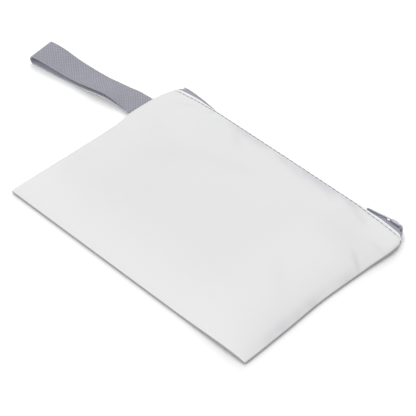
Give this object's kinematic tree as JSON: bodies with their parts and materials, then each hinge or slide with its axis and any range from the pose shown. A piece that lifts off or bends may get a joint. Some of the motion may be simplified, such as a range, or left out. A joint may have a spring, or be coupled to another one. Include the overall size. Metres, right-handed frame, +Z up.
{
  "type": "document pouch",
  "caption": "Flat zipped fabric pouch for documents, with a coil zip along one long edge, a hinged pull and a folded webbing wrist loop sewn into a short edge.",
  "frame": {"origin": "middle of the pouch's underside, on the surface that it lies on", "axes": "+X along the zip towards its closed end, +Y from the long seam to the zip, +Z up out of the panel that shows"},
  "size_m": [0.37, 0.1862, 0.0108],
  "materials": {
    "white_cloth": "smooth woven polyester, slight sheen",
    "grey_tape": "fine woven tape, matte",
    "grey_coil": "moulded coil, satin",
    "grey_webbing": "ribbed webbing, matte",
    "grey_enamel": "baked enamel, satin"
  },
  "bodies": {
    "pouch": {"top_panel": "white_cloth", "back_panel": "white_cloth", "zip_tape_upper": "grey_tape", "zip_tape_lower": "grey_tape", "zip_coil": "grey_coil", "slider_body": "grey_enamel", "wrist_loop": "grey_webbing"},
    "pull": {"pull_tab": "grey_enamel"}
  },
  "joints": [
    {"name": "pull_swing", "type": "hinge", "parent": "pouch", "child": "pull", "pos_m": [0.10738, 0.09514, 0.00392], "axis": [0, 0, -1], "range_deg": [0, 185]}
  ]
}
